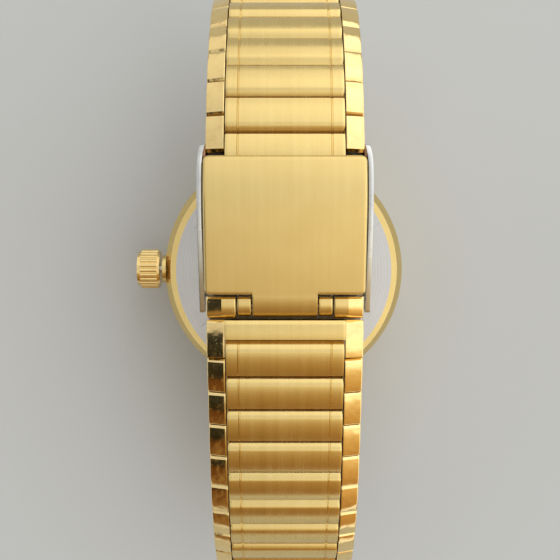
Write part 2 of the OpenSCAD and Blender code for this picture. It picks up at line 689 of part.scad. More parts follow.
module clasp_blade() color("Silver") on_clasp() difference() {
    union() {
        difference() {
            across(band_w - 0.2) polygon([
                [hinge_y - 1.1, blade_z - blade_t], [blade_y - 0.5, blade_z - blade_t],
                [blade_y - 0.5, blade_z - 0.05], [hinge_y - 1.1, blade_z - 0.05]]);
            translate([-4.4, -5.5, -10]) cube([8.8, 11.5, 20]);
            for (s = [-1, 1]) translate([s * 7, 7.9, -10]) translate([-2, 0, 0]) cube([4, 3, 20]);
        }
        both_sides(band_w / 2 - 3.35, 3.35) {
            translate([hinge_y, 0]) circle(knuckle_r);
            polygon([[hinge_y - knuckle_r, 0], [hinge_y - knuckle_r, blade_z - blade_t],
                     [hinge_y + 0.35, blade_z - blade_t], [hinge_y + 0.35, 0]]);
        }
        across(9.6) {
            translate([blade_y, blade_z]) circle(0.7);
            translate([blade_y - 1.6, blade_z - blade_t]) square([1.6, blade_t - 0.05]);
        }
    }
    translate([0, blade_y, blade_z]) rotate([0, 90, 0]) cylinder(r = 0.42, h = 30, center = true);
}

module clasp_pins() color("Silver") on_clasp() {
    translate([0, hinge_y, 0]) rotate([0, 90, 0]) cylinder(r = pin_r, h = 10.8, center = true);
    translate([0, blade_y, blade_z]) rotate([0, 90, 0])
        cylinder(r = 0.36, h = rail_in + 2 * rail_t - 0.1, center = true);
    translate([0, link_pin_y, 0]) rotate([0, 90, 0]) {
        cylinder(r = pin_r, h = rail_in + 2 * rail_t - 0.1, center = true);
        for (s = [0, 1]) mirror([0, 0, s]) translate([0, 0, bar_w / 2 + 0.15]) cylinder(r = 0.8, h = 1.1);
    }
}

case_middle();
bezel();
crystal();
crystal_gasket();
dial();
hour_markers();
hour_hand();
minute_hand();
second_hand();
movement_ring();
mainplate();
bridges();
mainspring_barrel();
third_wheel();
escape_wheel();
pallet_fork();
balance_wheel();
hairspring();
rotor();
ball_bearing();
case_back();
case_back_gasket();
winding_stem();
crown();
spring_bars();
clasp_cover();
clasp_frame();
clasp_blade();
clasp_pins();
lower_end_piece();
upper_end_piece();
u_link();  // lower_link_0
for (i = [1:lower_n]) lower_link(i);
for (i = [1:upper_n]) upper_link(i);
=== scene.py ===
"""Dresses an automatic wristwatch on a link bracelet, clasp side up, for rendering.

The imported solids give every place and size. Each sub-assembly below is a class
that builds the finer visible pieces in millimetres, puts them where the solids
are, and gives every piece its finish.
"""

from __future__ import annotations

import json
import logging
import math
from collections.abc import Callable, Iterable, Sequence
from dataclasses import dataclass, field
from enum import Enum
from typing import Any

import bmesh
import bpy
from mathutils import Matrix, Vector

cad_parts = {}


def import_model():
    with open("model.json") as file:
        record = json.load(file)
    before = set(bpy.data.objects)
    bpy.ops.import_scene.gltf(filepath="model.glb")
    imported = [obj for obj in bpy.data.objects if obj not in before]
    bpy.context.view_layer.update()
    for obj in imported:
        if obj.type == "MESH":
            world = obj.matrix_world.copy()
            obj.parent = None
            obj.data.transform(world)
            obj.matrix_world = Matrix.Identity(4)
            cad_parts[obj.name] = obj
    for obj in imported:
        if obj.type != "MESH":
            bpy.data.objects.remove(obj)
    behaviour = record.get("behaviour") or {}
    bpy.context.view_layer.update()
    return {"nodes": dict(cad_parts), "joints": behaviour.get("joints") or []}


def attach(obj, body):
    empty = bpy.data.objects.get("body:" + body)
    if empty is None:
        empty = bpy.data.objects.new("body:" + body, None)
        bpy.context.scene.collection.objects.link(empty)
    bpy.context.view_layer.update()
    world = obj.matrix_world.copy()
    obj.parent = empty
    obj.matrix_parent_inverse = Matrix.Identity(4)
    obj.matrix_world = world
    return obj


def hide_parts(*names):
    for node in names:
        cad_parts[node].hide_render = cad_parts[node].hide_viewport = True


Mesh = bmesh.types.BMesh
VERT, EDGE, FACE = bmesh.types.BMVert, bmesh.types.BMEdge, bmesh.types.BMFace
Colour = tuple[float, float, float]
Outline = list[tuple[float, float]]

LOG = logging.getLogger("wristwatch")
MM = 0.001
MERGE = 1e-5  # vertices nearer than this many millimetres become one
TOUCH = 0.01  # places nearer than this many millimetres count as the same
SHARP = 35.0  # edges that turn by more degrees than this stay sharp


class Axis(Enum):
    """World axes that shapes are turned about or run along."""

    X = (1.0, 0.0, 0.0)
    Y = (0.0, 1.0, 0.0)
    Z = (0.0, 0.0, 1.0)

    @property
    def vector(self) -> Vector:
        """The axis as a vector."""
        return Vector(self.value)


# Shader expressions


def maths(operation: str, reflected: bool = False) -> Callable[..., Signal]:
    """A Signal's method that adds one Math node.

    Args:
        operation: the node's operation.
        reflected: whether the Signal comes second.

    Returns:
        The method.
    """
    def method(signal: Signal, other: Any = 0.0) -> Signal:
        """The operation's result."""
        first, second = (other, signal) if reflected else (signal, other)
        return signal.graph.node("ShaderNodeMath", {"operation": operation},
                                 {0: first, 1: second})
    return method


class Signal:
    """A shader socket that takes part in Python arithmetic."""

    __add__ = __radd__ = maths("ADD")
    __sub__, __rsub__ = maths("SUBTRACT"), maths("SUBTRACT", True)
    __mul__ = __rmul__ = maths("MULTIPLY")
    __pow__, __gt__ = maths("POWER"), maths("GREATER_THAN")
    size, wrapped = maths("ABSOLUTE"), maths("FRACT")

    def __init__(self, graph: Graph, socket: Any) -> None:
        """Wraps a socket of a graph."""
        self.graph = graph
        self.socket = socket

    def clamped(self, low: float = 0.0, high: float = 1.0) -> Signal:
        """The value kept between two limits."""
        return self.graph.node("ShaderNodeClamp", {}, {"Value": self, "Min": low, "Max": high})

    def axes(self) -> list[Signal]:
        """The x, y and z of a vector."""
        apart = self.graph.node("ShaderNodeSeparateXYZ", {}, {0: self}).socket.node
        return [Signal(self.graph, output) for output in apart.outputs]


class Graph:
    """A material or world whose nodes are added by one method."""

    def __init__(self, tree: bpy.types.NodeTree) -> None:
        """Starts from an emptied node tree."""
        tree.nodes.clear()
        self.tree = tree

    def node(self, kind: str, settings: dict[str, Any] | None = None,
             values: dict[Any, Any] | None = None, output: int | str = 0) -> Signal:
        """Adds a node.

        Args:
            kind: the node's type name.
            settings: its properties, set first; "stops" fills a colour ramp.
            values: the value or Signal of each socket, by name or number.
            output: the output that the result stands for.

        Returns:
            The chosen output.
        """
        made = self.tree.nodes.new(kind)
        for name, value in (settings or {}).items():
            if name == "stops":
                ramp = made.color_ramp
                while len(ramp.elements) < len(value):
                    ramp.elements.new(0.5)
                for element, (place, colour) in zip(ramp.elements, value):
                    element.position = place
                    element.color = (*colour, 1.0)
            else:
                setattr(made, name, value)
        for name, value in (values or {}).items():
            socket = made.inputs[name]
            if isinstance(value, Signal):
                self.tree.links.new(value.socket, socket)
            elif socket.type == "RGBA":
                socket.default_value = (*value, 1.0)
            else:
                socket.default_value = value
        return Signal(self, made.outputs[output])

    def here(self) -> Signal:
        """Object coordinates."""
        return self.node("ShaderNodeTexCoord", output="Object")

    def noise(self, scale: float | Sequence[float], detail: float = 2.0, rough: float = 0.5,
              offset: Sequence[float] = (0, 0, 0)) -> Signal:
        """Smooth noise on object coordinates.

        Args:
            scale: repeats for each metre, one number or one for each axis.
            detail: its finer octaves.
            rough: how much they weigh.
            offset: shift of the pattern.

        Returns:
            The noise, from 0 to 1.
        """
        scales = tuple(scale) if isinstance(scale, Sequence) else (scale,) * 3
        place = self.node("ShaderNodeMapping", {}, {"Vector": self.here(), "Scale": scales,
                                                    "Location": offset})
        return self.node("ShaderNodeTexNoise", {}, {"Vector": place, "Scale": 1.0,
                                                    "Detail": detail, "Roughness": rough})

    def blend(self, share: Any, first: Any, second: Any) -> Signal:
        """Mix of two colours or colour Signals."""
        return self.node("ShaderNodeMix", {"data_type": "RGBA"}, {0: share, 6: first, 7: second}, 2)

    def bump(self, height: Signal, depth: float, strength: float = 1.0,
             under: Signal | None = None) -> Signal:
        """Normal from a height.

        Args:
            height: the height, from 0 to 1.
            depth: what a height of 1 stands for, in metres.
            strength: how much of it shows.
            under: a normal to start from.

        Returns:
            The normal.
        """
        values: dict[str, Any] = {"Height": height, "Distance": depth, "Strength": strength}
        if under is not None:
            values["Normal"] = under
        return self.node("ShaderNodeBump", {}, values)

    def surface(self, **sockets: Any) -> None:
        """Ends the material in a Principled shader.

        Args:
            sockets: socket values by name, with _ for a space.
        """
        values = {name.replace("_", " "): value for name, value in sockets.items()}
        self.end(self.node("ShaderNodeBsdfPrincipled", {}, values))

    def end(self, shader: Signal, kind: str = "ShaderNodeOutputMaterial") -> None:
        """Links a shader to the output."""
        self.tree.links.new(shader.socket, self.tree.nodes.new(kind).inputs["Surface"])


# Finishes


@dataclass(frozen=True)
class Finish:
    """Base of the finishes, each of which fills one material.

    The label is the material's name. Where a finish has them, colour and shade are its
    brighter and its darker colour, roughness is its middle one, lengths are in metres,
    and what repeats is counted for each metre.
    """

    label: str

    def material(self) -> bpy.types.Material:
        """The finish's material, made at its first use.

        Returns:
            The material.
        """
        found = bpy.data.materials.get(self.label)
        if found is None:
            found = bpy.data.materials.new(self.label)
            found.use_nodes = True
            self.fill(Graph(found.node_tree))
        return found

    def fill(self, graph: Graph) -> None:
        """Adds the finish's nodes.

        Args:
            graph: the material's nodes.
        """
        raise NotImplementedError


@dataclass(frozen=True)
class SatinMetal(Finish):
    """Metal brushed along the band, with soft streaks and a few hairline scratches."""

    colour: Colour = (0.86, 0.675, 0.30)
    shade: Colour = (0.74, 0.54, 0.20)
    roughness: float = 0.25
    lines: tuple[float, float, float] = (9000.0, 220.0, 220.0)
    depth: float = 4e-6
    scratches: tuple[float, float, float] = (420.0, 7000.0, 7000.0)
    rare: float = 0.73

    def fill(self, graph: Graph) -> None:
        """Brushing lines drive colour, roughness and a fine bump.

        Args:
            graph: the material's nodes.
        """
        fine = graph.noise(self.lines, 3.0, 0.6)
        broad = graph.noise([s / 6 for s in self.lines], offset=(3, 1, 7))
        patch = graph.noise(260, 3.0, 0.55, (9, 4, 2))
        scratch = graph.noise(self.scratches, 1.0, 0.4, (5, 8, 1)) > self.rare
        streak = fine * 0.5 + broad * 0.5
        colour = graph.blend((streak * 1.2 - 0.1).clamped(), self.shade, self.colour)
        colour = graph.blend((patch * 0.7 - 0.18).clamped(0, 0.35), colour, self.shade)
        rough = self.roughness + (streak - 0.5) * 0.22 + (patch - 0.5) * 0.14 + scratch * 0.05
        normal = graph.bump(fine * 0.7 + broad * 0.9 - scratch * 0.15, self.depth, 0.75)
        graph.surface(Base_Color=colour, Metallic=1.0, Roughness=rough.clamped(0.16, 0.7),
                      Normal=normal)


@dataclass(frozen=True)
class MirrorMetal(Finish):
    """Polished metal, a little wavy, with tiny dings and worn patches."""

    colour: Colour = (0.93, 0.70, 0.31)
    shade: Colour = (0.70, 0.46, 0.16)
    roughness: float = 0.10
    wave: float = 26e-6
    ripple: float = 520.0
    dent: float = 5e-6

    def fill(self, graph: Graph) -> None:
        """Slow waves bend the reflections and dings scatter them.

        Args:
            graph: the material's nodes.
        """
        swell = graph.noise(self.ripple, 1.5, 0.45)
        dings = graph.noise(4200, offset=(2, 6, 3))
        worn = graph.noise(900, 3.0, 0.6, (7, 5, 1))
        pits = (dings - 0.62).clamped() * 2.6
        colour = graph.blend((worn * 1.5 - 0.72).clamped(0, 0.5), self.colour, self.shade)
        rough = self.roughness + (worn - 0.45) * 0.16 + pits * 0.5
        normal = graph.bump(pits, self.dent, 0.6, graph.bump(swell, self.wave))
        graph.surface(Base_Color=colour, Metallic=1.0, Roughness=rough.clamped(0.05, 0.5),
                      Normal=normal)


@dataclass(frozen=True)
class TurnedMetal(Finish):
    """Metal brushed in circles about the watch's upright axis."""

    colour: Colour = (0.62, 0.61, 0.60)
    roughness: float = 0.30
    rings: float = 9000.0

    def fill(self, graph: Graph) -> None:
        """Noise on the distance from the axis.

        Args:
            graph: the material's nodes.
        """
        x, y, _ = graph.here().axes()
        radius = (x * x + y * y) ** 0.5
        ring = graph.node("ShaderNodeTexNoise", {"noise_dimensions": "1D"},
                          {"W": radius * self.rings, "Scale": 1.0, "Detail": 2.0})
        patch = graph.noise(300)
        dull = tuple(c * 0.72 for c in self.colour)
        rough = self.roughness + (ring - 0.5) * 0.2 + (patch - 0.5) * 0.1
        graph.surface(Base_Color=graph.blend((ring * 0.9 - 0.2).clamped(0, 0.6), self.colour, dull),
                      Metallic=1.0, Normal=graph.bump(ring, 3e-6, 0.6),
                      Roughness=rough.clamped(0.12, 0.6))


@dataclass(frozen=True)
class StripedMetal(Finish):
    """Plated movement metal with broad parallel stripes, turned by some radians."""

    colour: Colour = (0.66, 0.66, 0.64)
    stripe: float = 1.6 * MM
    turn: float = 0.6

    def fill(self, graph: Graph) -> None:
        """A rounded wave across the stripes bends the light.

        Args:
            graph: the material's nodes.
        """
        x, y, _ = graph.here().axes()
        along = x * math.cos(self.turn) + y * math.sin(self.turn)
        phase = (along * (1.0 / self.stripe)).wrapped() - 0.5
        wave = phase * phase * 4.0
        grain = graph.noise((6000, 6000, 500))
        dull = tuple(c * 0.7 for c in self.colour)
        graph.surface(Base_Color=graph.blend((wave * 0.6).clamped(), self.colour, dull),
                      Metallic=1.0, Roughness=(0.24 + grain * 0.16).clamped(),
                      Normal=graph.bump(wave + grain * 0.1, 30e-6, 0.5))


@dataclass(frozen=True)
class ClearCrystal(Finish):
    """Clear mineral glass."""

    def fill(self, graph: Graph) -> None:
        """Glass with faint wipe marks in its gloss.

        Args:
            graph: the material's nodes.
        """
        wipe = graph.noise((350, 60, 60)) * 0.05 - 0.01
        graph.surface(Base_Color=(0.97, 0.985, 1.0), Roughness=wipe.clamped(0.0, 0.05),
                      IOR=1.52, Transmission_Weight=1.0)


@dataclass(frozen=True)
class MattRubber(Finish):
    """Black gasket rubber."""

    def fill(self, graph: Graph) -> None:
        """Fine grain on dark rubber.

        Args:
            graph: the material's nodes.
        """
        grain = graph.noise(5000)
        graph.surface(Base_Color=graph.blend(grain, (0.014, 0.014, 0.015), (0.035, 0.035, 0.036)),
                      Roughness=0.62 + grain * 0.2, Normal=graph.bump(grain, 6e-6, 0.5))


@dataclass(frozen=True)
class SunburstLacquer(Finish):
    """Champagne dial whose brushing fans out from its centre."""

    colour: Colour = (0.74, 0.62, 0.40)
    shade: Colour = (0.58, 0.46, 0.26)

    def fill(self, graph: Graph) -> None:
        """Noise on the direction from the dial's centre.

        Args:
            graph: the material's nodes.
        """
        flat = graph.node("ShaderNodeVectorMath", {"operation": "MULTIPLY"},
                          {0: graph.here(), 1: (1.0, 1.0, 0.0)})
        way = graph.node("ShaderNodeVectorMath", {"operation": "NORMALIZE"}, {0: flat})
        ray = graph.node("ShaderNodeTexNoise", {},
                         {"Vector": way, "Scale": 70.0, "Detail": 3.0, "Roughness": 0.7})
        graph.surface(Base_Color=graph.blend((ray * 1.4 - 0.2).clamped(), self.shade, self.colour),
                      Metallic=0.75, Roughness=(0.26 + ray * 0.2).clamped(), Coat_Weight=0.6,
                      Coat_Roughness=0.06, Normal=graph.bump(ray, 5e-6, 0.4))


@dataclass(frozen=True)
class PrintInk(Finish):
    """Slightly grained ink of the dial's print."""

    colour: Colour = (0.10, 0.08, 0.05)
    roughness: float = 0.45

    def fill(self, graph: Graph) -> None:
        """Grain in colour and gloss.

        Args:
            graph: the material's nodes.
        """
        grain = graph.noise(7000)
        worn = tuple(c * 0.8 for c in self.colour)
        graph.surface(Base_Color=graph.blend(grain * 0.3, self.colour, worn),
                      Roughness=(self.roughness + (grain - 0.5) * 0.15).clamped())


@dataclass(frozen=True)
class FloorPaint(Finish):
    """Matt floor that is seen from above only."""

    colour: Colour = (0.585, 0.61, 0.625)

    def fill(self, graph: Graph) -> None:
        """Clear where the floor is seen from behind.

        Args:
            graph: the material's nodes.
        """
        behind = graph.node("ShaderNodeNewGeometry", output="Backfacing")
        matt = graph.node("ShaderNodeBsdfDiffuse", {}, {"Color": self.colour})
        clear = graph.node("ShaderNodeBsdfTransparent")
        graph.end(graph.node("ShaderNodeMixShader", {}, {0: behind, 1: matt, 2: clear}))


SATIN_GOLD = SatinMetal("satin gold")
# dark brown gold for the faces inside the joints: painted shade where rows and plates meet
JOINT_SHADE_GOLD = SatinMetal("gold darkened as painted shade inside the joints", (0.30, 0.17, 0.055), (0.20, 0.11, 0.035), 0.4)
COVER_GOLD = SatinMetal("cover gold", (0.83, 0.65, 0.285), (0.715, 0.52, 0.195), 0.33,
                        depth=1.6e-6)
MIRROR_GOLD = MirrorMetal("polished gold")
PLATE_GOLD = MirrorMetal("dented gold", wave=52e-6, ripple=760.0)
CASE_GOLD = SatinMetal("case gold", roughness=0.24, depth=1.5e-6, lines=(900.0, 900.0, 5200.0))
STEEL = MirrorMetal("polished steel", (0.62, 0.62, 0.605), (0.47, 0.46, 0.44), 0.16, 8e-6)
COPPER = MirrorMetal("worn copper", (0.45, 0.24, 0.13), (0.30, 0.15, 0.09), 0.32, 4e-6)
# nearly black steel for the clasp's pins and the blade's lip: painted shade in the hinge row's gaps
SHADE_PIN_STEEL = MirrorMetal("pin steel darkened as painted shade", (0.20, 0.17, 0.14), (0.12, 0.10, 0.08), 0.35, 2e-6)
DULL_STEEL = SatinMetal("brushed steel", (0.60, 0.60, 0.59), (0.42, 0.42, 0.41), 0.3, depth=2e-6)
BACK_STEEL = TurnedMetal("case back steel")
GILT = MirrorMetal("gilt", (0.85, 0.64, 0.30), (0.62, 0.42, 0.16), 0.12, 2e-6)
BRASS_WHEEL = TurnedMetal("wheel brass", (0.78, 0.58, 0.28), 0.26)
NICKEL = StripedMetal("plated bridge")
ROTOR_METAL = StripedMetal("rotor metal", (0.60, 0.60, 0.61), 1.2 * MM, -0.5)
BLUED = MirrorMetal("blued steel", (0.06, 0.11, 0.34), (0.03, 0.05, 0.18), 0.2, 1e-6)
CRYSTAL = ClearCrystal("crystal glass")
RUBBER = MattRubber("gasket rubber")
DIAL = SunburstLacquer("dial lacquer")
TRACK = PrintInk("track print")
FLOOR = FloorPaint("pale floor")


# Mesh helpers


def share(value: float) -> float:
    """A value kept from 0 to 1."""
    return max(0.0, min(1.0, value))


def rounding(radius: float, past: float) -> float:
    """How far a quarter round has fallen at a distance past its start."""
    return radius - math.sqrt(max(0.0, radius ** 2 - past ** 2))


def made_of(kind: type, result: dict[str, Any]) -> list[Any]:
    """The vertices, edges or faces among what an operator made."""
    return [part for part in result["geom"] if isinstance(part, kind)]


def whole(geometry: Mesh) -> list[Any]:
    """Everything in a mesh, as the operators take it."""
    return geometry.verts[:] + geometry.edges[:] + geometry.faces[:]


def rim(geometry: Mesh) -> list[Any]:
    """The edges round a mesh's openings."""
    return [e for e in geometry.edges if e.is_boundary]


def both_ends(test: Callable[[Vector], bool]) -> Callable[[Any], bool]:
    """Makes a test of a place into one that both ends of an edge have to pass."""
    return lambda edge: all(test(vert.co) for vert in edge.verts)


def outwards(geometry: Mesh) -> None:
    """Turns all faces outwards."""
    bmesh.ops.recalc_face_normals(geometry, faces=geometry.faces)


def slab(geometry: Mesh, low: Sequence[float], high: Sequence[float]) -> list[Any]:
    """Adds a box.

    Args:
        geometry: the mesh.
        low: its lowest corner.
        high: its highest corner.

    Returns:
        Its vertices.
    """
    made = bmesh.ops.create_cube(geometry, size=1.0)["verts"]
    bmesh.ops.scale(geometry, vec=[h - l for l, h in zip(low, high)], verts=made)
    bmesh.ops.translate(geometry, vec=[(l + h) / 2 for l, h in zip(low, high)], verts=made)
    return made


def drum(geometry: Mesh, radius: float, low: Sequence[float], high: Sequence[float],
         sides: int = 32) -> None:
    """Adds a closed cylinder.

    Args:
        geometry: the mesh.
        radius: its radius.
        low: the middle of one end.
        high: the middle of the other end.
        sides: facets round it.
    """
    start, end = Vector(low), Vector(high)
    turn = Axis.Z.vector.rotation_difference(end - start).to_matrix().to_4x4()
    bmesh.ops.create_cone(geometry, cap_ends=True, segments=sides, radius1=radius, radius2=radius,
                          depth=(end - start).length,
                          matrix=Matrix.Translation((start + end) / 2) @ turn)


def arc(centre: Sequence[float], radius: float, start: float, end: float, steps: int,
        tall: float | None = None) -> Outline:
    """Points along the arc of a circle or an upright oval.

    Args:
        centre: its centre.
        radius: its radius, or its half width.
        start: first angle in degrees.
        end: last angle in degrees.
        steps: number of pieces.
        tall: its half height, if it differs.

    Returns:
        The points, both ends included.
    """
    angles = (math.radians(start + (end - start) * k / steps) for k in range(steps + 1))
    rise = radius if tall is None else tall
    return [(centre[0] + radius * math.cos(a), centre[1] + rise * math.sin(a)) for a in angles]


def side_plate(geometry: Mesh, outline: Outline, near: float, far: float) -> None:
    """Adds a plate whose outline is drawn in y and z, from one x to another.

    Args:
        geometry: the mesh.
        outline: its corners.
        near: x of one face.
        far: x of the other face.
    """
    face = geometry.faces.new([geometry.verts.new((near, y, z)) for y, z in outline])
    moved = made_of(VERT, bmesh.ops.extrude_face_region(geometry, geom=[face]))
    bmesh.ops.translate(geometry, vec=(far - near, 0, 0), verts=moved)
    outwards(geometry)


def cut_across(geometry: Mesh, axis: Axis, places: Iterable[float]) -> None:
    """Adds edge loops where planes across an axis meet the mesh."""
    for place in places:
        bmesh.ops.bisect_plane(geometry, geom=whole(geometry), plane_co=axis.vector * place,
                               plane_no=axis.vector)


def cleared(geometry: Mesh, test: Callable[[Vector], bool]) -> None:
    """Deletes the faces whose middle passes a test."""
    gone = [f for f in geometry.faces if test(f.calc_center_median())]
    bmesh.ops.delete(geometry, geom=gone, context="FACES")


def windowed(geometry: Mesh, half: float, near: float, far: float) -> None:
    """Cuts a window through a slab.

    Args:
        geometry: the mesh, which holds the slab alone.
        half: half the window's width.
        near: its lower end along y.
        far: its upper end along y.
    """
    cut_across(geometry, Axis.X, (-half, half))
    cut_across(geometry, Axis.Y, (near, far))
    cleared(geometry, lambda place: abs(place.x) < half and near < place.y < far)
    bmesh.ops.bridge_loops(geometry, edges=rim(geometry))


def stretched(geometry: Mesh, points: Iterable[Sequence[float]], steps: Iterable[float]) -> None:
    """Draws a line and stretches it along y, one strip of faces for each step.

    Args:
        geometry: the mesh.
        points: the line's points.
        steps: length of each strip.
    """
    verts = [geometry.verts.new(point) for point in points]
    edges = [geometry.edges.new(pair) for pair in zip(verts, verts[1:])]
    for step in steps:
        edges = made_of(EDGE, bmesh.ops.extrude_edge_only(geometry, edges=edges))
        bmesh.ops.translate(geometry, vec=(0, step, 0),
                            verts=list({v for e in edges for v in e.verts}))


def mark_joint_shade(geometry: Mesh, way: Axis, sign: float = 0.0) -> None:
    """Marks the faces that look along an axis as inside a joint, where a darker finish paints their
    shade.

    Args:
        geometry: the mesh.
        way: the axis.
        sign: 1 or -1 for one direction, 0 for both.
    """
    geometry.normal_update()
    for face in geometry.faces:
        along = face.normal.dot(way.vector)
        if (abs(along) if sign == 0 else along * sign) > 0.9:
            face.material_index = 1


def both_ways(geometry: Mesh) -> None:
    """Adds the mesh's mirror image across x = 0.

    Args:
        geometry: the mesh.
    """
    copy = bmesh.ops.duplicate(geometry, geom=whole(geometry))
    bmesh.ops.scale(geometry, vec=(-1, 1, 1), verts=made_of(VERT, copy))
    bmesh.ops.reverse_faces(geometry, faces=made_of(FACE, copy))


def soften(geometry: Mesh, width: float, segments: int = 2, above: float = 60.0,
           test: Callable[[Any], bool] = lambda edge: True) -> None:
    """Bevels the edges that turn by more than an angle.

    Args:
        geometry: the mesh.
        width: the bevel's offset.
        segments: its steps.
        above: the smallest turn in degrees.
        test: tells which of these edges are meant.
    """
    geometry.normal_update()
    edges = [e for e in geometry.edges if len(e.link_faces) == 2
             and e.calc_face_angle(0.0) > math.radians(above) and test(e)]
    bmesh.ops.bevel(geometry, geom=edges, offset=width, offset_type="OFFSET", affect="EDGES",
                    segments=segments, profile=0.5, material=-1, clamp_overlap=True)


def plate_pair(outline: Outline, near: float, far: float, width: float, segments: int = 3,
               above: float = 30.0) -> Mesh:
    """A softened side plate and its mirror image.

    Args:
        outline: its corners in y and z.
        near: x of one face.
        far: x of the other face.
        width: the bevel's offset.
        segments: its steps.
        above: the smallest turn that is bevelled, in degrees.

    Returns:
        The mesh.
    """
    geometry = bmesh.new()
    side_plate(geometry, outline, near, far)
    soften(geometry, width, segments, above)
    both_ways(geometry)
    return geometry


def joined(geometry: Mesh, other: Mesh) -> None:
    """Moves a second mesh into the first and frees it.

    Args:
        geometry: the mesh that takes it.
        other: the second mesh.
    """
    spare = bpy.data.meshes.new("spare")
    other.to_mesh(spare)
    other.free()
    geometry.from_mesh(spare)
    bpy.data.meshes.remove(spare)


def finished(name: str, geometry: Mesh, finish: Finish, body: str, stands_for: Sequence[str],
             place: Matrix, sharp: float = SHARP, inside: Finish | None = None) -> None:
    """Turns a mesh drawn in millimetres into a dressed piece that rides on a body.

    Args:
        name: the piece's name.
        geometry: the mesh, freed here.
        finish: what it is made of.
        body: the body it rides on.
        stands_for: solids it replaces.
        place: where it goes, in millimetres.
        sharp: edges that turn by more degrees than this stay sharp.
        inside: darker finish of the faces marked as inside a joint, which paints their shade.
    """
    bmesh.ops.remove_doubles(geometry, verts=geometry.verts, dist=MERGE)
    bmesh.ops.transform(geometry, matrix=place, verts=geometry.verts)
    bmesh.ops.scale(geometry, vec=(MM, MM, MM), verts=geometry.verts)
    outwards(geometry)
    mesh = bpy.data.meshes.new(name)
    geometry.to_mesh(mesh)
    geometry.free()
    mesh.materials.append(finish.material())
    if inside is None:
        mesh.polygons.foreach_set("material_index", [0] * len(mesh.polygons))
    else:
        mesh.materials.append(inside.material())
    mesh.polygons.foreach_set("use_smooth", [True] * len(mesh.polygons))
    mesh.set_sharp_from_angle(angle=math.radians(sharp))
    piece = bpy.data.objects.new(name, mesh)
    bpy.context.scene.collection.objects.link(piece)
    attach(piece, body)
    if stands_for:
        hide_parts(*stands_for)
    LOG.info("%s: %d faces in %s on %s", name, len(mesh.polygons), finish.label, body)


def dress(nodes: dict[str, Any], finish: Finish, *names: str) -> None:
    """Gives solids that stay visible their finish.

    Args:
        nodes: the frame's nodes.
        finish: the finish.
        names: the nodes' names.
    """
    for name in names:
        mesh = nodes[name].data
        mesh.materials.clear()
        mesh.materials.append(finish.material())
        LOG.info("%s keeps its solid in %s", name, finish.label)


# Bracelet


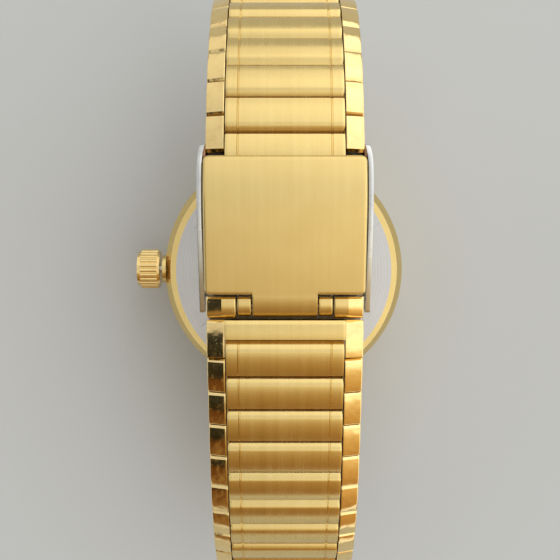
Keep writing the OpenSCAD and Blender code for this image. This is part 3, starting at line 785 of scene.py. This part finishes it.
@dataclass
class Row:
    """One row of the bracelet in millimetres, drawn with the band along y.

    Args:
        pitch: distance from one row to the next.
        band: width of the band.
        bar: width of the solids' centre bar.
        wider: how much wider the drawn bar is.
        thick: thickness of the row.
        gap: play between neighbouring rows.
        side: play between the solids' bar and a plate.
        groove: distance of an engraved line from the bar's end.
        engraving: an engraved line's profile, each point across it with its depth.
        strips: strips of faces along the bar.
        crown: fall of the bar's face from its crest.
        shoulder: its shoulder's fall, start as a share of half the bar, and power.
        lower: how far a plate's faces lie inside the row's thickness.
        plate_crown: fall of a plate's face from its middle to its ends.
        plate_slope: fall of a plate's face to its outer edge.
        plate_bevel: fall and length of the bevel at a plate's start.
        pin: radius of a cross pin.
    """

    pitch: float = 4.25
    band: float = 18.0
    bar: float = 13.4
    wider: float = 0.2
    thick: float = 2.4
    gap: float = 0.09
    side: float = 0.22
    groove: float = 1.45
    engraving: tuple[tuple[float, float], ...] = ((-0.12, 0.0), (-0.05, 0.1), (0.05, 0.1),
                                                  (0.12, 0.0))
    strips: int = 26
    crown: float = 0.075
    shoulder: tuple[float, float, float] = (0.62, 0.52, 1.6)
    lower: float = 0.05
    plate_crown: float = 0.24
    plate_slope: float = 0.40
    plate_bevel: tuple[float, float] = (0.75, 0.34)
    pin: float = 0.42

    @property
    def plate(self) -> float:
        """Width of an edge plate."""
        return (self.band - self.bar) / 2 - self.side

    def bar_mesh(self, start: float, end: float, width: float, lines: bool = True,
                 undercut: float = 0.0) -> Mesh:
        """Domed centre bar with its two engraved lines.

        Args:
            start: lower end along the band.
            end: upper end along the band.
            width: length across the band.
            lines: whether it has the engraved lines.
            undercut: how far its lower edge stands back at the start.

        Returns:
            The mesh.
        """
        geometry = bmesh.new()
        middle, top, half = (start + end) / 2, self.thick / 2, width / 2
        line, end_strip, tip, height = half - self.groove, 0.35, 0.02, 0.8
        stops = [(side * (half - d), 0.0) for side in (-1, 1) for d in (0.0, end_strip)]
        if lines:
            stops += [(side * line + d, cut) for side in (-1, 1) for d, cut in self.engraving]
        stretched(geometry, [(x, start, top - cut) for x, cut in sorted(stops)],
                  [(end - start) / self.strips] * self.strips)
        for vert in geometry.verts:
            vert.co.z -= self.dome(vert.co.y - middle, (end - start) / 2)
        for vert in made_of(VERT, bmesh.ops.extrude_edge_only(geometry, edges=rim(geometry))):
            vert.co.z = -top
            vert.co.y += undercut if vert.co.y < start + TOUCH else 0.0
        bmesh.ops.holes_fill(geometry, edges=rim(geometry), sides=0)
        corner, crest_end, rest = 0.3, 0.2, 0.12
        outer = both_ends(lambda place: abs(place.x) > line)
        soften(geometry, corner, 3, 55,
               lambda e: outer(e) and abs(e.verts[0].co.z - e.verts[1].co.z) > height)
        soften(geometry, crest_end, 3, math.degrees(0.8),
               both_ends(lambda place: abs(place.x) > half - tip and place.z > 0))
        soften(geometry, rest, 2, 40)
        outwards(geometry)
        mark_joint_shade(geometry, Axis.Y)
        return geometry

    def dome(self, away: float, half: float) -> float:
        """Drop of the bar's face: gently domed, with a shoulder on the clasp's side.

        Args:
            away: distance past the crest line, away from the clasp.
            half: half the bar's length along the band.

        Returns:
            How far the face lies below the crest.
        """
        fall, begin, power = self.shoulder
        return self.crown * away ** 2 + fall * max(0.0, -away - begin * half) ** power

    def plate_mesh(self, start: float, end: float, undercut: float = 0.0) -> Mesh:
        """The two polished edge plates, slightly crowned, with bevelled ends.

        Args:
            start: lower end along the band.
            end: upper end along the band.
            undercut: how far its lower edge stands back at the start.

        Returns:
            The mesh.
        """
        geometry = bmesh.new()
        outer, top, middle = self.band / 2, self.thick / 2 - self.lower, (start + end) / 2
        inner, border = outer - self.plate, 0.2
        slab(geometry, (inner, start, -top), (outer, end, top))
        long = [e for e in geometry.edges if abs(e.verts[0].co.y - e.verts[1].co.y) > 1]
        bmesh.ops.subdivide_edges(geometry, edges=long, cuts=11, use_grid_fill=True)
        cut_across(geometry, Axis.X, (inner + border, outer - border))
        cut_across(geometry, Axis.Y, (start + 0.3, start + 0.36, end - border))
        fall, reach = self.plate_bevel
        for vert in geometry.verts:
            if vert.co.z > 0:
                away = (vert.co.y - middle) / (end - start) * 2
                vert.co.z -= self.plate_crown * away * away
                vert.co.z -= self.plate_slope * (vert.co.x - inner) / self.plate
                vert.co.z -= fall * max(0.0, start + reach - vert.co.y)
            elif vert.co.y < start + TOUCH:
                vert.co.y += undercut
        soften(geometry, 0.07, 2, 50)
        outwards(geometry)
        mark_joint_shade(geometry, Axis.X, -1)
        mark_joint_shade(geometry, Axis.Y)
        both_ways(geometry)
        return geometry

    def pin_mesh(self, places: Sequence[float]) -> Mesh:
        """Ends of the cross pins, just proud of the side faces.

        Args:
            places: the pins' places along the band.

        Returns:
            The mesh.
        """
        geometry = bmesh.new()
        inner, outer = self.band / 2 - 1.2, self.band / 2 + 0.02
        for y in places:
            for side in (-1, 1):
                drum(geometry, self.pin, (side * inner, y, 0), (side * outer, y, 0), 20)
        soften(geometry, 0.06)
        return geometry


@dataclass
class Bracelet:
    """Both halves of the bracelet, placed from the joints' pins.

    Args:
        joints: the record's joints.
        row: sizes of a row.
    """

    joints: list[dict[str, Any]]
    row: Row = field(default_factory=Row)

    def pin(self, name: str) -> Vector:
        """A joint's place in millimetres."""
        found = next(j for j in self.joints if j["name"] == name)
        return Vector(found["pos_m"]) / MM

    def where(self, near: Vector, far: Vector, lower: bool) -> Matrix:
        """Places a row whose band direction runs from one pin to the next.

        Args:
            near: the pin nearer the clasp.
            far: the next pin.
            lower: whether the row belongs to the half below the clasp.

        Returns:
            The place, with the row's domed side outwards.
        """
        along = (far - near).normalized()
        across = Vector((-1 if lower else 1, 0, 0))
        basis = Matrix((across, along, across.cross(along))).transposed().to_4x4()
        return Matrix.Translation(near) @ basis

    def build(self, nodes: dict[str, Any]) -> None:
        """Builds every row of both halves and dresses the end pieces.

        Args:
            nodes: the frame's nodes.
        """
        halves = {"lower": [self.pin("lower_hinge_0")], "upper": [self.pin("clasp_swivel")]}
        for half, pins in halves.items():
            count = sum(1 for n in nodes if n.startswith(f"{half}_link_")) - (half == "lower")
            for index in range(1, count + 1):
                pins.append(self.pin(f"{half}_hinge_{index}"))
                self.one_row(f"{half}_link_{index}", self.where(*pins[-2:], half == "lower"))
            LOG.info("%s half: %d rows", half, count)
        self.end_link(halves["lower"][0])
        dress(nodes, MIRROR_GOLD, "lower_end_piece", "upper_end_piece")

    def pieces(self, body: str, place: Matrix, meshes: dict[str, Mesh],
               inside: Finish | None = None) -> None:
        """Finishes the bar, the plates and the pins of one link.

        Args:
            body: the link's body and solid.
            place: the link's place.
            meshes: their meshes, in this order, by name.
            inside: darker finish of the faces inside the joints, which paints their shade.
        """
        looks = ((SATIN_GOLD, "gold_satin", inside), (PLATE_GOLD, "gold_polished", inside),
                 (STEEL, "steel", None))
        for (name, mesh), (finish, slot, dark) in zip(meshes.items(), looks):
            finished(name, mesh, finish, body, [body], place, inside=dark)

    def one_row(self, name: str, place: Matrix) -> None:
        """Bar, plates and pin ends of one row.

        Args:
            name: the row's body and solid.
            place: the row's place.
        """
        row = self.row
        pitch, play = row.pitch, row.gap / 2
        # the faces inside the joints take the dark gold of painted shade
        self.pieces(name, place, {
            f"{name}_bar": row.bar_mesh(play - pitch / 4, 3 * pitch / 4 - play,
                                        row.bar + row.wider),
            f"{name}_plates": row.plate_mesh(pitch / 4 + play, 5 * pitch / 4 - play),
            f"{name}_pins": row.pin_mesh((pitch / 2, pitch))}, JOINT_SHADE_GOLD)

    def end_link(self, pin: Vector) -> None:
        """U-shaped link that meets the clasp's hinge row.

        Args:
            pin: the place of its hinge.
        """
        row, start, undercut = self.row, -3.37, 0.25
        place = Matrix.Translation(pin) @ Matrix.Rotation(math.pi, 4, "Z")
        width = row.band - 2 * row.plate + 0.02
        self.pieces("lower_link_0", place, {
            "end_link_bar": row.bar_mesh(start, -1.1, width, False, undercut),
            "end_link_arms": row.plate_mesh(start, row.pitch / 4 - row.gap / 2, undercut),
            "end_link_pins": row.pin_mesh((0.0,))})


# Clasp


@dataclass
class Clasp:
    """The fold-over clasp, drawn in millimetres from its cover hinge.

    Args:
        hinge: the cover hinge's place in millimetres.
        start: lower edge of the cover along the band.
        length: its length.
        width: its width.
        crest: place of its crest along the band.
        top: height of its crest.
        rise: how far it rises from its hinge edge to the crest.
        fall: how far it falls from the crest to its free edge.
        corner: radius of its corners seen from above.
        edge: radius of its rolled edge.
        sheet: thickness of its sheet.
        tongue: half width of its tongue.
        knuckle: radius of the knuckles.
        rail_in: inner face of a rail from the middle.
        rail: thickness of a rail.
        small: ends of a small knuckle from the middle.
        cheek: ends of a cheek knuckle from the middle, with its split between them.
        floor: heights of the frame floor's lower and upper face.
        blade: the same for the blade's plate, from its pin.
        window: half width of the floor's and the blade's window.
        blade_pin: place of the blade's pin.
    """

    hinge: Vector
    start: float = 1.42
    length: float = 15.65
    width: float = 18.3
    crest: float = 12.2
    top: float = 3.02
    rise: float = 1.4
    fall: float = 0.85
    corner: float = 0.62
    edge: float = 0.26
    sheet: float = 0.7
    tongue: float = 3.7
    knuckle: float = 1.1
    rail_in: float = 9.55
    rail: float = 0.45
    small: tuple[float, float] = (3.86, 5.44)
    cheek: tuple[float, float, float] = (5.63, 7.25, 9.01)
    floor: tuple[float, float] = (-2.15, -1.75)
    blade: tuple[float, float] = (-0.5, -0.05)
    window: float = 4.4
    blade_pin: tuple[float, float] = (17.55, -2.6)

    def cover_z(self, y: float) -> float:
        """Height of the cover's outer face, nearly straight up to its crest and bent past it.

        Args:
            y: the place along the band.

        Returns:
            The height.
        """
        away = y - self.crest
        if away < 0:
            return self.top - self.rise * (away / (self.start - self.crest)) ** 1.3
        return self.top - self.fall * (away / (self.start + self.length - self.crest)) ** 2

    def foot(self, place: Vector) -> float:
        """Height of the cover's lower rim, deepest between its ends.

        Args:
            place: the place on the cover.

        Returns:
            The height.
        """
        deep = 1.5 - 0.72 * share((place.y - 15.6) / 1.3)
        clear = 0.4 * share((self.start + 1.0 - place.y) / 0.4)
        return max(0.35 + clear, self.cover_z(place.y) - deep)

    def cover_cap(self, geometry: Mesh, inset: float) -> None:
        """Adds the outer or inner skin of the cover with its skirts.

        Args:
            geometry: the mesh.
            inset: how far the skin lies inside the outer one.
        """
        start, end = self.start + inset, self.start + self.length - inset / 6
        half = self.width / 2 - inset
        before = set(geometry.verts)
        near = (0.0, 0.03, 0.1, 0.2, 0.34, 0.62)
        short = [b - a for a, b in zip(near, near[1:])]
        stops = sorted({side * (half - d) for side in (-1, 1) for d in near + (2.0, half)})
        stretched(geometry, [(x, start, 0) for x in stops],
                  short + [(end - start - 2 * near[-1]) / 24] * 24 + short[::-1])
        for vert in set(geometry.verts) - before:
            bend = rounding(self.corner, max(0.0, abs(vert.co.x) - half + self.corner))
            part = (vert.co.y - start) / (end - start)
            vert.co.y = start + bend + part * (end - start - 2 * bend)
            inside = min(half - abs(vert.co.x), vert.co.y - start - bend,
                         0.65 * (end - bend - vert.co.y))
            roll = rounding(self.edge, max(0.0, self.edge - inside))
            vert.co.z = self.cover_z(vert.co.y) - inset - roll
        skin = [e for e in rim(geometry)
                if abs(e.verts[0].co.z - self.foot(e.verts[0].co)) > 0.02]
        for vert in made_of(VERT, bmesh.ops.extrude_edge_only(geometry, edges=skin)):
            vert.co.z = self.foot(vert.co)

    def cover_mesh(self) -> Mesh:
        """Arched sheet with skirts and rounded corners.

        Returns:
            The mesh.
        """
        geometry = bmesh.new()
        self.cover_cap(geometry, 0.0)
        self.cover_cap(geometry, self.sheet)
        bmesh.ops.bridge_loops(geometry, edges=rim(geometry))
        outwards(geometry)
        soften(geometry, 0.1)
        return geometry

    def tongue_mesh(self) -> Mesh:
        """Centre tongue from the cover's edge round the hinge pin.

        Returns:
            The mesh.
        """
        geometry = bmesh.new()
        start, near = self.start, 2.2
        wide = near + self.knuckle + 0.2
        tall = self.cover_z(start) / math.sqrt(1 - ((near - start) / wide) ** 2)
        stop = math.degrees(math.acos((start - 0.1 - near) / wide))
        outline = arc((-0.2, 0), self.knuckle, 280, 190, 8)
        outline += arc((near, 0), wide, 180, stop, 22, tall)
        outline += [(start + d, self.cover_z(start + d) + 0.004) for d in (0.0, 0.2, 0.4, 0.6)]
        outline += [(start + 0.6, 0.85), (0.8, 0.3)]
        side_plate(geometry, outline, -self.tongue, self.tongue)
        cut_across(geometry, Axis.X, (0.2 - self.tongue, self.tongue - 0.2))
        soften(geometry, 0.08, 2, 70, both_ends(lambda place: place.y < start - 0.1))
        return geometry

    def knuckle_mesh(self, inner: float, outer: float, low: float = 0.1, taper: float = 0.0,
                     free: tuple[bool, bool] = (True, True)) -> Mesh:
        """A pair of hinge knuckles, rolled over the pin from a flat top.

        Args:
            inner: near end from the middle.
            outer: far end from the middle.
            low: how far past the barrel's radius it reaches away from the cover.
            taper: share by which its height falls towards the outer end.
            free: whether the near and the far end are free, and so rounded.

        Returns:
            The mesh.
        """
        geometry = bmesh.new()
        radius, border = self.knuckle + 0.02, 0.2
        outline = arc((0.45, 0), 0.45 + radius + low, 90, 180, 18, radius)
        outline += arc((-low, 0), radius, 190, 335, 16)
        outline += [(1.1, 0.3), (1.1, 0.88), (0.88, radius)]
        side_plate(geometry, outline, inner, outer)
        cut_across(geometry, Axis.X, (inner + border, outer - border))
        for vert in geometry.verts:
            vert.co.z *= 1 - taper * (vert.co.x - inner) / (outer - inner)
        for end, loose in zip((inner, outer), free):
            if loose:
                soften(geometry, 0.12, 3, 60,
                       both_ends(lambda place: abs(place.x - end) < TOUCH))
        both_ways(geometry)
        return geometry

    def rail_mesh(self) -> Mesh:
        """Both rails: bowed above, flat below, curled inward at their ends.

        Returns:
            The mesh.
        """
        geometry = bmesh.new()
        bow, crest, top, base = 24.0, 11.45, 1.3, self.floor[0]
        y, z = self.blade_pin
        low, high = -0.85, y + 0.85
        ends = [math.degrees(math.acos((at - crest) / bow)) for at in (8.6, high - 0.35)]
        outline = arc((low + 0.4, base + 0.4), 0.4, 180, 270, 4) + [(y - 1.1, base)]
        outline += arc((y - 0.2, z), 0.8, 200, 350, 10) + [(high, base + 0.8), (high, 0.0)]
        outline += arc((crest, top - bow), bow, ends[1], ends[0], 26)
        outline += [(low + 0.45, 0.03), (low + 0.1, -0.15), (low, -0.5)]
        side_plate(geometry, outline, self.rail_in - 0.13, self.rail_in + self.rail)
        soften(geometry, 0.26, 2, 50,
               both_ends(lambda place: place.x < self.rail_in and place.z > 0.5))
        soften(geometry, 0.09, 3, 50, both_ends(lambda place: place.x > self.rail_in + 0.3))
        curl, long, foot_curl, foot_long = 0.34, 2.4, 0.14, 1.3
        for vert in geometry.verts:
            upper, lower = share((vert.co.y - high) / long + 1), share(1 - vert.co.y / foot_long)
            vert.co.x -= curl * upper ** 2 + foot_curl * lower ** 2
        both_ways(geometry)
        return geometry

    def floor_mesh(self) -> Mesh:
        """Frame floor with its window and the tabs that reach up to the blade's pin.

        Returns:
            The mesh.
        """
        geometry = bmesh.new()
        base, face = self.floor
        slab(geometry, (-self.rail_in, 0.85, base), (self.rail_in, 16.95, face))
        windowed(geometry, self.window, 3.25, 12.75)
        soften(geometry, 0.08)
        y, z = self.blade_pin
        joined(geometry, plate_pair([(16.45, base), (16.45, face), (y, z + 0.72), (y + 0.5, z),
                                     (y, z - 0.6), (y - 0.7, z)], 5.4, self.rail_in, 0.1))
        return geometry

    def leg_mesh(self) -> Mesh:
        """Legs that carry the frame's small knuckles."""
        base, face = self.floor
        return plate_pair([(-0.7, 0.0), (-0.7, base + 0.3), (-0.4, base), (1.25, base),
                           (1.25, face), (1.0, -0.4)], 3.9, 5.4, 0.1)

    def blade_mesh(self) -> Mesh:
        """Folding blade: a windowed plate with its far tab, and the webs up to its cheeks.

        Returns:
            The mesh.
        """
        geometry = bmesh.new()
        y, z = self.blade_pin
        base, face = (z + height for height in self.blade)
        half, tab, notch = 8.9, 5.0, 16.15
        slab(geometry, (-half, -1.1, base), (half, y - 0.5, face))
        cut_across(geometry, Axis.X, (-tab, tab))
        cut_across(geometry, Axis.Y, (notch,))
        windowed(geometry, self.window, 2.75, 14.25)
        cleared(geometry, lambda place: abs(place.x) > tab and place.y > notch)
        bmesh.ops.holes_fill(geometry, edges=rim(geometry), sides=0)
        soften(geometry, 0.08)
        drum(geometry, 0.68, (-4.8, y, z), (4.8, y, z))
        joined(geometry, plate_pair([(-1.08, 0), (-1.08, base), (0.35, base), (0.35, 0)],
                                    5.68, 8.98, 0.06, 2, 60))
        return geometry

    def lip_mesh(self) -> Mesh:
        """Lip of the folding blade under the hinge row's lower side, a dark sheet that paints the
        shade seen through the gap below the hinge row.

        Returns:
            The mesh.
        """
        geometry = bmesh.new()
        face, half, thick = self.blade_pin[1] + self.blade[1], 8.95, 0.4
        slab(geometry, (-half, -2.35, face - thick), (half, -1.0, face))
        soften(geometry, 0.08)
        return geometry

    def boss_mesh(self) -> Mesh:
        """Bosses round the blade's pin, between the floor and the rails.

        Returns:
            The mesh.
        """
        geometry = bmesh.new()
        y, z = self.blade_pin
        inner, outer = 9.03, self.rail_in - 0.05
        drum(geometry, 0.78, (inner, y - 0.1, z), (outer, y - 0.1, z))
        slab(geometry, (inner, y - 0.9, z), (outer - 0.05, y + 0.5, z + 2.4))
        soften(geometry, 0.1)
        both_ways(geometry)
        return geometry

    def build(self) -> None:
        """Builds the clasp's pieces."""
        place = Matrix.Translation(self.hinge)
        inner, split, outer = self.cheek
        cheeks = (self.knuckle_mesh(inner, split, 0.33, 0.0, (True, False)),
                  self.knuckle_mesh(split, outer, 0.33, 0.3, (False, True)))
        pieces = {
            "clasp_cover": (
                ("cover_plate", self.cover_mesh(), COVER_GOLD, "gold_satin", 30),
                ("cover_tongue", self.tongue_mesh(), COVER_GOLD, "gold_satin", 50)),
            "clasp_frame": (
                ("frame_rails", self.rail_mesh(), STEEL, "steel", SHARP),
                ("frame_floor", self.floor_mesh(), DULL_STEEL, "steel", SHARP),
                ("frame_legs", self.leg_mesh(), DULL_STEEL, "steel", SHARP),
                ("frame_knuckles", self.knuckle_mesh(*self.small), SATIN_GOLD, "gold_satin", SHARP),
                ("frame_bosses", self.boss_mesh(), COPPER, "steel", SHARP)),
            "clasp_blade": (
                ("blade_plate", self.blade_mesh(), DULL_STEEL, "steel", SHARP),
                # the blade's lip takes the dark pin steel as painted shade under the hinge row
                ("blade_lip", self.lip_mesh(), SHADE_PIN_STEEL, "steel", SHARP),
                ("cheek_inner", cheeks[0], SATIN_GOLD, "gold_satin", SHARP),
                ("cheek_outer", cheeks[1], MIRROR_GOLD, "gold_polished", SHARP))}
        for body, group in pieces.items():
            for name, mesh, finish, slot, sharp in group:
                finished(name, mesh, finish, body, [body], place, sharp)


# Head


@dataclass
class Head:
    """Case, dial and movement, most of whose pieces keep their solids.

    Args:
        nodes: the frame's nodes.
        dial_z: height of the dial's printed face in millimetres.
        dial_r: radius of the dial in millimetres.
    """

    nodes: dict[str, Any]
    dial_z: float = 4.2
    dial_r: float = 15.3

    def track_mesh(self) -> Mesh:
        """Minute track printed on the dial, with longer and wider ticks at the hours.

        Returns:
            The mesh.
        """
        geometry = bmesh.new()
        for minute in range(60):
            inner, half = (1.35, 0.08) if minute % 5 == 0 else (1.15, 0.05)
            tick = slab(geometry, (self.dial_r - inner, -half, self.dial_z - 0.012),
                        (self.dial_r - 0.86, half, self.dial_z + 0.02))
            turn = Matrix.Rotation(math.radians(6 * minute), 3, Axis.Z.vector)
            bmesh.ops.rotate(geometry, cent=(0, 0, 0), matrix=turn, verts=tick)
        return geometry

    def build(self) -> None:
        """Adds the dial's print and dresses the head's solids."""
        finished("minute_track", self.track_mesh(), TRACK, "case", (), Matrix())
        for finish, names in (
                (CASE_GOLD, ("case_middle",)),
                (MIRROR_GOLD, ("bezel", "crown")),
                (CRYSTAL, ("crystal",)),
                (RUBBER, ("crystal_gasket", "case_back_gasket")),
                (DIAL, ("dial",)),
                (GILT, ("hour_markers", "hour_hand", "minute_hand", "second_hand")),
                (BACK_STEEL, ("case_back",)),
                (NICKEL, ("mainplate", "bridges")),
                (ROTOR_METAL, ("rotor",)),
                (BRASS_WHEEL, ("mainspring_barrel", "third_wheel", "balance_wheel")),
                (BLUED, ("hairspring",)),
                (DULL_STEEL, ("movement_ring", "escape_wheel", "pallet_fork", "ball_bearing",
                              "winding_stem", "spring_bars"))):
            dress(self.nodes, finish, *names)


# Studio


@dataclass
class Studio:
    """Floor, lamps, world and camera.

    The ramps run from 6 o'clock to 12 o'clock.

    Args:
        target: where the camera looks, in millimetres.
        height: the camera's distance from it in millimetres.
        lean: how far the camera stands towards +y of straight above, in degrees.
        focal: its focal length in millimetres.
        aim: where the lamps point, in millimetres.
        hole: radius of the floor's hole under the crystal, in millimetres.
        reach: radius of the floor, in millimetres.
        room: colours of the room.
        wall: colours of the room in front of and behind the watch, warm towards 6 o'clock.
        gloom: colours of the dark patch to the left.
    """

    target: tuple[float, float, float] = (-0.57, 2.0, 49.0)
    height: float = 100.0
    lean: float = 5.2
    focal: float = 57.1
    aim: tuple[float, float, float] = (0.0, 5.0, 40.0)
    hole: float = 14.5
    reach: float = 3000.0
    room: tuple[tuple[float, Colour], ...] = (
        (0.0, (0.80, 0.80, 0.81)), (0.5, (0.86, 0.86, 0.85)), (0.75, (0.88, 0.88, 0.87)),
        (1.0, (1.10, 1.09, 1.06)))
    wall: tuple[tuple[float, Colour], ...] = (
        (0.0, (0.33, 0.19, 0.07)), (0.03, (0.32, 0.18, 0.065)), (0.106, (0.42, 0.265, 0.105)),
        (0.19, (0.50, 0.345, 0.165)), (0.25, (0.62, 0.48, 0.28)), (0.30, (0.86, 0.79, 0.64)),
        (0.36, (0.96, 0.92, 0.83)), (0.5, (0.98, 0.96, 0.90)))
    gloom: tuple[tuple[float, Colour], ...] = (
        (0.0, (0.20, 0.09, 0.03)), (0.15, (0.15, 0.055, 0.014)), (0.20, (0.016, 0.016, 0.009)),
        (0.5, (0.014, 0.016, 0.011)))

    def floor(self) -> None:
        """Pale floor round the crystal it stands on, open from below."""
        geometry = bmesh.new()
        for radius in (self.hole, self.reach):
            bmesh.ops.create_circle(geometry, cap_ends=False, radius=radius * MM, segments=96)
        bmesh.ops.bridge_loops(geometry, edges=geometry.edges[:])
        outwards(geometry)
        if geometry.faces[:][0].normal.z < 0:
            bmesh.ops.reverse_faces(geometry, faces=geometry.faces[:])
        mesh = bpy.data.meshes.new("floor")
        geometry.to_mesh(mesh)
        geometry.free()
        mesh.materials.append(FLOOR.material())
        floor = bpy.data.objects.new("floor", mesh)
        floor.location.z = -0.02 * MM
        bpy.context.scene.collection.objects.link(floor)

    def lamp(self, name: str, place: Sequence[float], size: float, power: float) -> None:
        """A square soft box aimed at the clasp.

        Args:
            name: the lamp's name.
            place: its place in millimetres.
            size: its side in millimetres.
            power: its power in watts.
        """
        data = bpy.data.lights.new(name, "AREA")
        data.size = size * MM
        data.energy = power
        data.color = (1.0, 0.99, 0.96)
        lamp = bpy.data.objects.new(name, data)
        lamp.location = Vector(place) * MM
        way = Vector(self.aim) * MM - lamp.location
        lamp.rotation_mode = "QUATERNION"
        lamp.rotation_quaternion = way.to_track_quat("-Z", "Y")
        bpy.context.scene.collection.objects.link(lamp)

    def world(self) -> None:
        """Soft room, bright towards 12 o'clock and overhead, brown towards 6 o'clock.

        A dark patch overhead to the left gives the left plates their dark reflections.
        """
        world = bpy.data.worlds.new("room")
        bpy.context.scene.world = world
        world.use_nodes = True
        graph = Graph(world.node_tree)
        x, y, z = graph.node("ShaderNodeTexCoord", output="Generated").axes()
        across = y * 0.5 + 0.5
        room, wall, gloom = (graph.node("ShaderNodeValToRGB", {"stops": stops}, {"Fac": across})
                             for stops in (self.room, self.wall, self.gloom))
        # the wall stands between the sides and above the horizon
        span = ((0.72 - x.size()) * 4.0).clamped() * ((z - 0.04) * 10.0).clamped()
        warm = graph.blend(span * (1.0 - (y * 5.0 + 1.0).clamped()), room, wall)
        # the dark patch ends at both sides, towards the horizon and towards 12 o'clock
        left = (((-0.30 - x) * 14.0).clamped() * ((x + 0.75) * 6.0).clamped()
                * (z * 5.0 - 0.5).clamped() * ((0.04 - y) * 14.0).clamped() * 0.98)
        # the right side is brighter than the left one
        level = 1.0 + (x * 3.0).clamped(-0.4, 1.0) * 0.36 + (x * 6.0).clamped() * 0.22
        light = graph.node("ShaderNodeBackground", {}, {"Color": graph.blend(left, warm, gloom),
                                                        "Strength": level})
        graph.end(light, "ShaderNodeOutputWorld")

    def camera(self) -> None:
        """Camera above the clasp, with 12 o'clock at the picture's top."""
        data = bpy.data.cameras.new("camera")
        data.lens = self.focal
        data.sensor_width = 36.0
        data.clip_start = 0.005
        data.clip_end = 20.0
        camera = bpy.data.objects.new("camera", data)
        lean = math.radians(self.lean)
        back, side = Vector((0, math.sin(lean), math.cos(lean))), Axis.X.vector
        camera.location = (Vector(self.target) + back * self.height) * MM
        camera.rotation_mode = "QUATERNION"
        basis = Matrix((side, back.cross(side), back)).transposed()
        camera.rotation_quaternion = basis.to_quaternion()
        bpy.context.scene.collection.objects.link(camera)
        bpy.context.scene.camera = camera

    def build(self) -> None:
        """Sets up the whole studio."""
        self.floor()
        self.world()
        self.lamp("top_box", (40, 230, 260), 260, 0.04)
        self.lamp("side_box", (260, 40, 190), 200, 0.022)
        self.camera()
        bpy.context.scene.view_settings.view_transform = "Standard"


def main() -> None:
    """Builds the wristwatch and its studio."""
    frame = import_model()
    nodes = frame["nodes"]
    bracelet = Bracelet(frame["joints"])
    bracelet.build(nodes)
    Clasp(bracelet.pin("cover_hinge")).build()
    # the clasp's pins take the dark pin steel as painted shade in the hinge row's gaps
    dress(nodes, SHADE_PIN_STEEL, "clasp_pins")
    Head(nodes).build()
    Studio().build()


if __name__ == "__main__":
    logging.basicConfig(level=logging.INFO, format="%(message)s")
    main()
